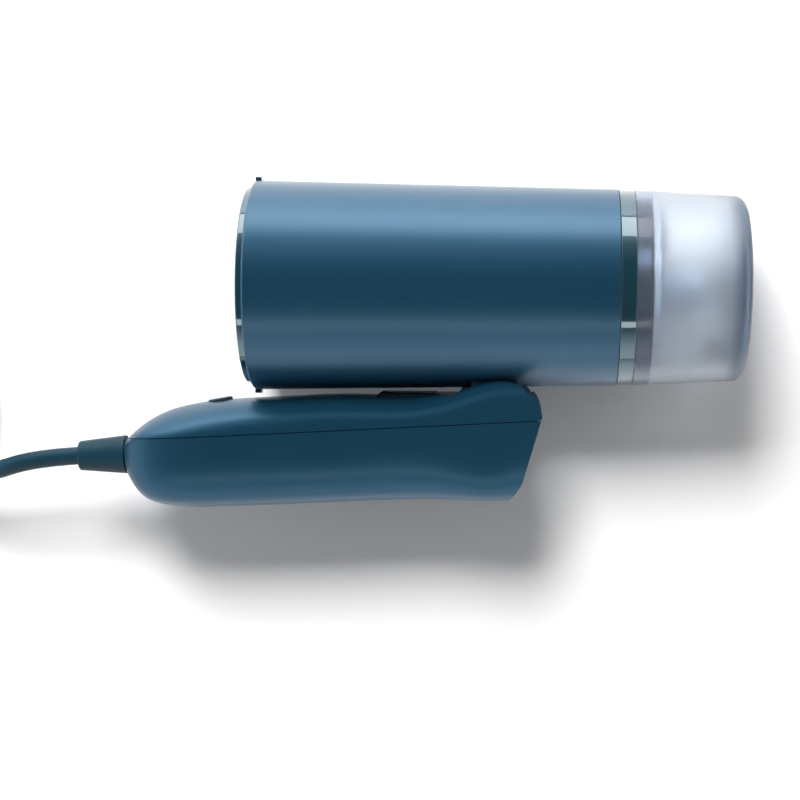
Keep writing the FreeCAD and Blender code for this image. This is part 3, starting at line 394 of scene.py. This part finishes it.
def pin_plating():
    return metal("pin_plating", (0.66, 0.65, 0.62, 1), (0.78, 0.77, 0.74, 1), 0.16, (1, 0.15, 1), 0.000003)


def copper_winding():
    """Enamelled winding: fine even turns under a tinted varnish."""
    material, tree, shader = start_material("copper_winding")
    set_shader(shader, Metallic=0.9, Coat_Weight=0.6, Coat_Roughness=0.15)
    turns = stripes(tree, 520, "X", 0.4)
    colours = [(0.1, (0.20, 0.055, 0.022, 1)), (0.6, (0.62, 0.24, 0.10, 1))]
    tree.links.new(ramp(tree, turns, colours), shader.inputs["Base Color"])
    tree.links.new(spread(tree, noise(tree, 300, 2), 0.22, 0.34), shader.inputs["Roughness"])
    raise_surface(tree, shader, turns, 0.00015)
    return material


def silicone():
    """Milky silicone rubber, slightly see-through, with a dusty bloom."""
    material, tree, shader = start_material("silicone")
    set_shader(shader, Transmission_Weight=0.2, IOR=1.41, Subsurface_Weight=0.15)
    shader.inputs["Subsurface Radius"].default_value = (0.004, 0.004, 0.003)
    bloom = noise(tree, 120, 3)
    colours = two_tone(tree, bloom, (0.60, 0.61, 0.60, 1), (0.76, 0.76, 0.73, 1))
    tree.links.new(colours, shader.inputs["Base Color"])
    tree.links.new(spread(tree, bloom, 0.40, 0.55), shader.inputs["Roughness"])
    raise_surface(tree, shader, noise(tree, 1500, 2), 0.00001)
    return material


def heat_plastic():
    """Glass-filled moulding: dark, with pale fibres showing at the skin."""
    material, tree, shader = start_material("heat_plastic")
    fibres = noise(tree, 1100, 3, (0.25, 1, 1))
    colours = [
        (0.35, (0.030, 0.024, 0.020, 1)),
        (0.62, (0.052, 0.042, 0.034, 1)),
        (0.75, (0.12, 0.10, 0.085, 1)),
    ]
    tree.links.new(ramp(tree, fibres, colours), shader.inputs["Base Color"])
    tree.links.new(spread(tree, fibres, 0.48, 0.62), shader.inputs["Roughness"])
    raise_surface(tree, shader, fibres, 0.00003)
    return material


def nylon():
    return moulding("nylon", (0.60, 0.58, 0.52, 1), (0.70, 0.68, 0.62, 1), 0.44, 1400)


def tank_fitting():
    return moulding("tank_fitting", (0.34, 0.42, 0.52, 1), (0.42, 0.50, 0.60, 1), 0.40, 1800)


def switch_black():
    return moulding("switch_black", (0.010, 0.010, 0.011, 1), (0.018, 0.018, 0.019, 1), 0.40, 2000)


def solder_mask():
    """A green board with copper tracks showing as lighter lines under the mask."""
    material, tree, shader = start_material("solder_mask")
    set_shader(shader, Coat_Weight=0.7, Coat_Roughness=0.12)
    tracks = tree.nodes.new("ShaderNodeTexBrick")
    tracks.inputs["Color1"].default_value = (0.008, 0.075, 0.030, 1)
    tracks.inputs["Color2"].default_value = (0.010, 0.090, 0.036, 1)
    tracks.inputs["Mortar"].default_value = (0.030, 0.170, 0.070, 1)
    tracks.inputs["Scale"].default_value = 160
    tracks.inputs["Mortar Size"].default_value = 0.03
    tree.links.new(place_on_object(tree), tracks.inputs["Vector"])
    tree.links.new(tracks.outputs["Color"], shader.inputs["Base Color"])
    tree.links.new(spread(tree, noise(tree, 500, 2), 0.30, 0.42), shader.inputs["Roughness"])
    raise_surface(tree, shader, tracks.outputs["Fac"], 0.00003)
    return material


def wire_skin():
    """The cores' coloured skins: the upper run brown, the lower run blue."""
    material, tree, shader = start_material("wire_skin")
    upper = arithmetic(tree, "GREATER_THAN", along(tree, "Z"), MIDDLE_HEIGHT)
    colours = [(0.0, (0.015, 0.060, 0.260, 1)), (1.0, (0.115, 0.038, 0.014, 1))]
    tree.links.new(ramp(tree, upper, colours), shader.inputs["Base Color"])
    tree.links.new(spread(tree, noise(tree, 800, 2), 0.32, 0.46), shader.inputs["Roughness"])
    raise_surface(tree, shader, noise(tree, 1600, 2), 0.00001)
    return material


FINISHES = [
    (shell_lacquer, ["head_shell"]),
    (handle_lacquer, ["handle_front_cover", "handle_rear_cover"]),
    (gloss_trim, ["front_bezel", "collar_ring"]),
    (frosted_tank, ["tank_shell"]),
    (tank_fitting, ["tank_lid"]),
    (cord_skin, ["cord_cuff", "cord_lead", "cord_coil", "cord_tail", "plug_body"]),
    (button_gloss, ["power_button"]),
    (trigger_plastic, ["trigger"]),
    (saddle_plastic, ["hinge_foot"]),
    (dock_plastic, ["docking_bulkhead", "docking_sleeve"]),
    (plate_coating, ["steam_plate"]),
    (cast_aluminium, ["steam_chamber"]),
    (drawn_steel, ["heating_element", "hinge_plate", "pump_spring", "valve_spring", "trigger_spring",
                   "button_spring", "friction_washers", "pickup_filter", "thermal_fuse"]),
    (turned_steel, ["head_screws", "chassis_screws", "handle_screws", "clamp_screws", "hinge_pin",
                    "trigger_pin", "pump_armature"]),
    (pin_plating, ["plug_pins"]),
    (copper_winding, ["pump_coil"]),
    (silicone, ["plate_gasket", "pump_mounts", "outlet_hose", "inlet_hose", "docking_seal", "tank_lid_seal",
                "filler_plug", "pickup_tube"]),
    (heat_plastic, ["thermostat", "heat_shield", "chassis"]),
    (nylon, ["pump_body", "board_posts", "hinge_bushes", "valve_poppet", "terminal_block", "cord_clamp",
             "microswitch_plunger"]),
    (switch_black, ["microswitch", "power_switch"]),
    (solder_mask, ["circuit_board"]),
    (wire_skin, ["head_wires", "handle_wires"]),
]


def paint_nodes():
    """Gives each carried-over node its material. Returns the materials by name."""
    made = {}
    for make, names in FINISHES:
        material = make()
        made[material.name] = material
        for name in names:
            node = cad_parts[name]
            node.data.materials.clear()
            node.data.materials.append(material)
    return made


# ---- the lead ------------------------------------------------------------------------------
def stepped(turn, steps):
    """A value that changes smoothly from one level to the next over each step."""
    value = steps[0][2]
    for begin, end, before, after in steps:
        if turn > begin:
            share = min(1.0, (turn - begin) / (end - begin))
            value = before + (after - before) * share * share * (3 - 2 * share)
    return value


def coil_point(turn):
    """A point on the winding, which goes clockwise seen from above."""
    angle = math.radians(270) - math.tau * turn
    radius = stepped(turn, COIL_RADIUS_STEPS)
    height = stepped(turn, COIL_HEIGHT_STEPS)
    return (COIL_CENTRE[0] + radius * math.cos(angle), COIL_CENTRE[1] + radius * math.sin(angle), height)


def cord_points():
    """The lead from the cuff, round its winding and into the plug."""
    count = round(COIL_TURNS * POINTS_PER_TURN)
    winding = [coil_point(step * COIL_TURNS / count) for step in range(count)]
    return LEAD_POINTS + winding + TAIL_POINTS


def mains_lead(material):
    """The visible lead: one round cord that takes the place of the three plain CAD pieces."""
    curve = bpy.data.curves.new("mains_lead", "CURVE")
    curve.dimensions = "3D"
    points = cord_points()
    spline = curve.splines.new("NURBS")
    spline.points.add(len(points) - 1)
    for point, place in zip(spline.points, points):
        point.co = (*place, 1.0)
    spline.order_u = 3
    spline.use_endpoint_u = True
    spline.resolution_u = 8
    curve.bevel_depth = CORD_DIAMETER / 2
    curve.bevel_resolution = 6
    curve.use_fill_caps = True
    curve.materials.append(material)
    lead = bpy.data.objects.new("mains_lead", curve)
    scene.collection.objects.link(lead)
    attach(lead, "handle")
    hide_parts("cord_lead", "cord_coil", "cord_tail")


# ---- table, lights and camera ----------------------------------------------------------------
def table_top():
    """A plain white sweep, far larger than the view."""
    mesh = bpy.data.meshes.new("table_top")
    shape = bmesh.new()
    bmesh.ops.create_grid(shape, x_segments=4, y_segments=4, size=4.0)
    shape.to_mesh(mesh)
    shape.free()
    table = bpy.data.objects.new("table_top", mesh)
    table.location.z = -0.0001
    scene.collection.objects.link(table)
    material, tree, shader = start_material("table_white")
    set_shader(shader, Roughness=0.6)
    colours = two_tone(tree, noise(tree, 3, 2), (0.86, 0.86, 0.86, 1), (0.88, 0.88, 0.88, 1))
    tree.links.new(colours, shader.inputs["Base Color"])
    mesh.materials.append(material)


def soft_box(name, place, aim, width, height, power, colour=(1, 1, 1), glossy=True, diffuse=True):
    """A rectangular lamp; its width lies level."""
    lamp = bpy.data.lights.new(name, "AREA")
    lamp.shape = "RECTANGLE"
    lamp.size = width
    lamp.size_y = height
    lamp.energy = power
    lamp.color = colour
    box = bpy.data.objects.new(name, lamp)
    box.location = place
    box.rotation_mode = "QUATERNION"
    box.rotation_quaternion = (Vector(aim) - Vector(place)).to_track_quat("-Z", "Y")
    box.visible_glossy = glossy
    box.visible_diffuse = diffuse
    scene.collection.objects.link(box)


def room_light():
    """A room that is dark overhead and bright near the horizon."""
    room = bpy.data.worlds.new("room")
    room.use_nodes = True
    tree = room.node_tree
    direction = tree.nodes.new("ShaderNodeTexCoord")
    parts = tree.nodes.new("ShaderNodeSeparateXYZ")
    tree.links.new(direction.outputs["Generated"], parts.inputs["Vector"])
    colours = ramp(tree, parts.outputs["Z"], ROOM_COLOURS)
    tree.links.new(colours, tree.nodes["Background"].inputs["Color"])
    scene.world = room


def studio():
    """A key lamp and a fill kept out of the reflections, and two soft boxes that only reflections show."""
    middle = (0.0, 0.0, 0.04)
    soft_box("key", KEY_PLACE, middle, KEY_SIZE, KEY_SIZE, KEY_POWER, glossy=False)
    soft_box("fill", (0.0, 0.0, 1.8), middle, FILL_SIZE, FILL_SIZE, FILL_POWER, glossy=False)
    soft_box("far_box", (0.0, 1.25, 0.36), (0.0, 0.0, 0.06), 2.4, 0.62, FAR_POWER, WARM, diffuse=False)
    soft_box("near_strip", (0.0, -0.85, 0.98), middle, 1.6, 0.16, STRIP_POWER, WARM, diffuse=False)
    room_light()
    scene.view_settings.view_transform = "Standard"


def camera():
    """Looks almost straight down, turned a little about its own axis."""
    forward = (CAMERA_AIM - CAMERA_PLACE).normalized()
    right = forward.cross(Vector((0, 1, 0))).normalized()
    up = right.cross(forward)
    level = right * math.cos(CAMERA_ROLL) + up * math.sin(CAMERA_ROLL)
    upright = up * math.cos(CAMERA_ROLL) - right * math.sin(CAMERA_ROLL)
    data = bpy.data.cameras.new("camera")
    data.lens = CAMERA_LENS
    data.sensor_width = 36.0
    data.clip_start = 0.05
    data.clip_end = 20.0
    eye = bpy.data.objects.new("camera", data)
    axes = Matrix((level, upright, -forward)).transposed()
    eye.matrix_world = Matrix.Translation(CAMERA_PLACE) @ axes.to_4x4()
    scene.collection.objects.link(eye)
    scene.camera = eye


materials = paint_nodes()
mains_lead(materials["cord_skin"])
table_top()
studio()
camera()
